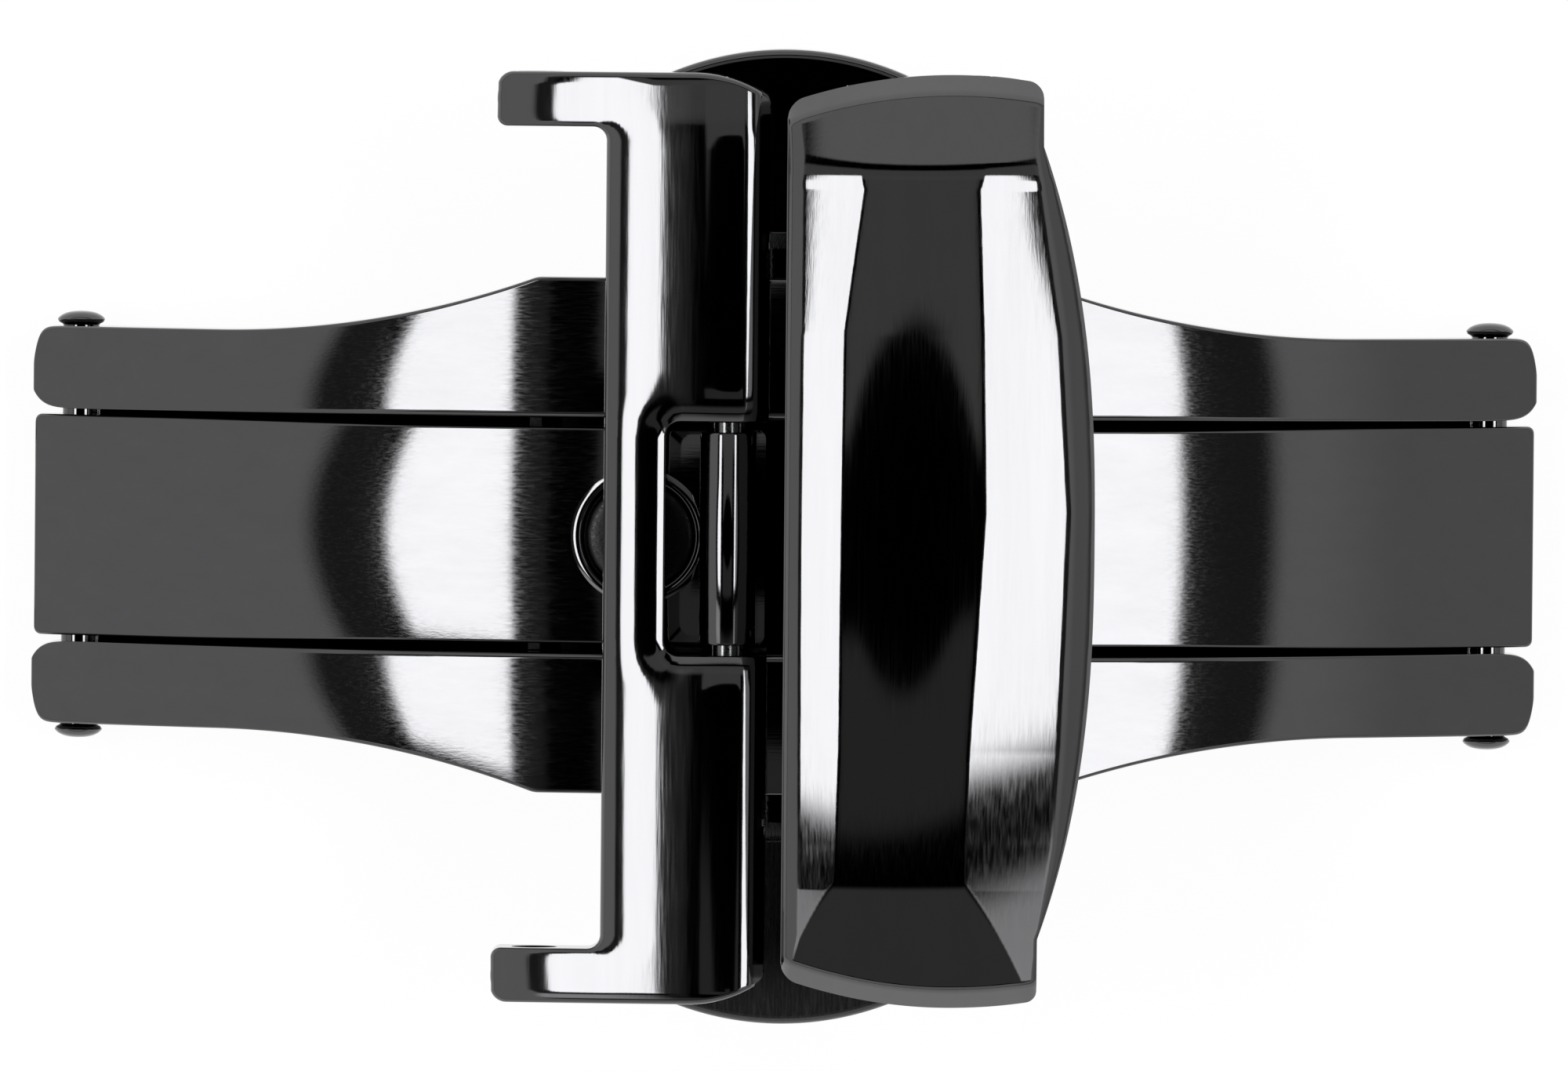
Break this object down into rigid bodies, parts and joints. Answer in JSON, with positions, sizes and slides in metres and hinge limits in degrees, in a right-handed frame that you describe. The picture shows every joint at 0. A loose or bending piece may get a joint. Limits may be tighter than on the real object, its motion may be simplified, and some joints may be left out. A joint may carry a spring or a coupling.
{
  "type": "butterfly clasp",
  "caption": "Closed butterfly clasp for a watch strap: curved side frames, folding wings, forked strap frame, faceted strap cap and sprung side push buttons that release the latch.",
  "frame": {"origin": "under the middle of the clasp, on the surface that its rail ends stand on", "axes": "+X along the strap towards the cap's side, +Y across the strap, +Z away from the wrist"},
  "size_m": [0.0334, 0.0214, 0.0112],
  "materials": {
    "black_polished": "polished black coating on steel",
    "black_brushed": "polished and finely brushed black coating on steel",
    "black_satin": "satin black coating on steel",
    "stud_steel": "turned and peened steel, darkened",
    "bare_steel": "stamped steel",
    "spring_steel": "drawn spring wire"
  },
  "bodies": {
    "base": {"side_frame_north": "black_polished", "side_frame_south": "black_polished", "latch_housing": "black_polished", "housing_cover": "black_polished", "cover_screws": "black_satin", "hinge_pin_west": "black_satin", "hinge_pin_east": "black_satin", "spring_north_west": "spring_steel", "spring_north_east": "spring_steel", "spring_south_west": "spring_steel", "spring_south_east": "spring_steel"},
    "wing_west": {"wing_west": "black_polished", "latch_stud_west": "stud_steel"},
    "wing_east": {"wing_east": "black_polished", "latch_stud_east": "stud_steel"},
    "strap_frame": {"strap_frame": "black_polished", "strap_frame_pin": "black_satin"},
    "strap_cap": {"strap_cap": "black_brushed", "strap_cap_pin": "black_satin"},
    "button_north": {"button_north": "black_polished", "catch_plate_north": "bare_steel", "button_pins_north": "bare_steel"},
    "button_south": {"button_south": "black_polished", "catch_plate_south": "bare_steel", "button_pins_south": "bare_steel"}
  },
  "joints": [
    {"name": "wing_west_hinge", "type": "hinge", "parent": "base", "child": "wing_west", "pos_m": [-0.01565, 0, 0.001], "axis": [0, -1, 0], "range_deg": [0, 150]},
    {"name": "wing_east_hinge", "type": "hinge", "parent": "base", "child": "wing_east", "pos_m": [0.01565, 0, 0.001], "axis": [0, 1, 0], "range_deg": [0, 150]},
    {"name": "strap_frame_hinge", "type": "hinge", "parent": "wing_west", "child": "strap_frame", "pos_m": [-0.00122, 0, 0.00821], "axis": [0, 1, 0], "range_deg": [0, 100]},
    {"name": "strap_cap_hinge", "type": "hinge", "parent": "wing_east", "child": "strap_cap", "pos_m": [0.00122, 0, 0.00821], "axis": [0, -1, 0], "range_deg": [0, 28]},
    {"name": "button_north_press", "type": "slide", "parent": "base", "child": "button_north", "axis": [0, -1, 0], "range_m": [0, 0.0003], "stiffness_N_per_m": 1500, "springref_m": -0.001, "deforming": ["spring_north_west", "spring_north_east"]},
    {"name": "button_south_press", "type": "slide", "parent": "base", "child": "button_south", "axis": [0, 1, 0], "range_m": [0, 0.0003], "stiffness_N_per_m": 1500, "springref_m": -0.001, "deforming": ["spring_south_west", "spring_south_east"]}
  ]
}
